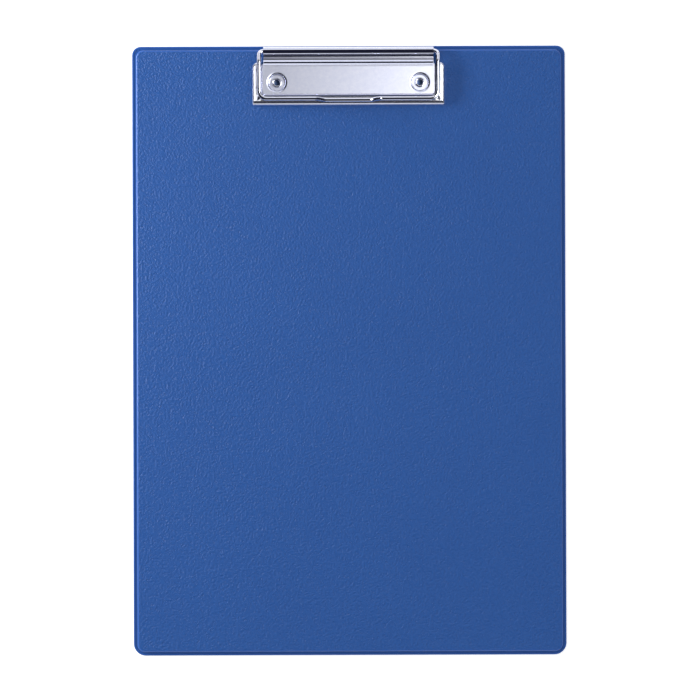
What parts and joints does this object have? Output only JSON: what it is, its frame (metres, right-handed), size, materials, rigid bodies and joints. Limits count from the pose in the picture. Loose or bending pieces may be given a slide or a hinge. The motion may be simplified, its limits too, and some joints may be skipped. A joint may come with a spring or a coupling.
{
  "type": "clipboard",
  "caption": "Flat film-covered writing board with a riveted steel clip at its top edge, whose sprung wire bail presses a jaw down on paper.",
  "frame": {"origin": "centre of the board's outline, on the back face that it lies on", "axes": "+X across the board to the right, +Y along the board towards the clip, +Z out of the front face"},
  "size_m": [0.226, 0.318, 0.0115],
  "materials": {
    "cover_film": "blue PVC film with a fine leather grain, welded round the edge",
    "core_card": "solid grey board, pressed",
    "plate_chrome": "bright chrome over lightly rolled steel sheet",
    "wire_chrome": "bright chrome over drawn spring wire",
    "rivet_chrome": "bright chrome over pressed steel"
  },
  "bodies": {
    "board": {"core_board": "core_card", "front_cover": "cover_film", "back_cover": "cover_film", "base_plate": "plate_chrome", "rivet_left": "rivet_chrome", "rivet_right": "rivet_chrome"},
    "clamp": {"wire_bail": "wire_chrome", "clamp_jaw": "plate_chrome"}
  },
  "joints": [
    {"name": "bail_hinge", "type": "hinge", "parent": "board", "child": "clamp", "pos_m": [0, 0.15592, 0.00518], "axis": [-1, 0, 0], "range_deg": [0, 20], "stiffness_Nm_per_rad": 2.5, "springref_deg": -9.17}
  ]
}
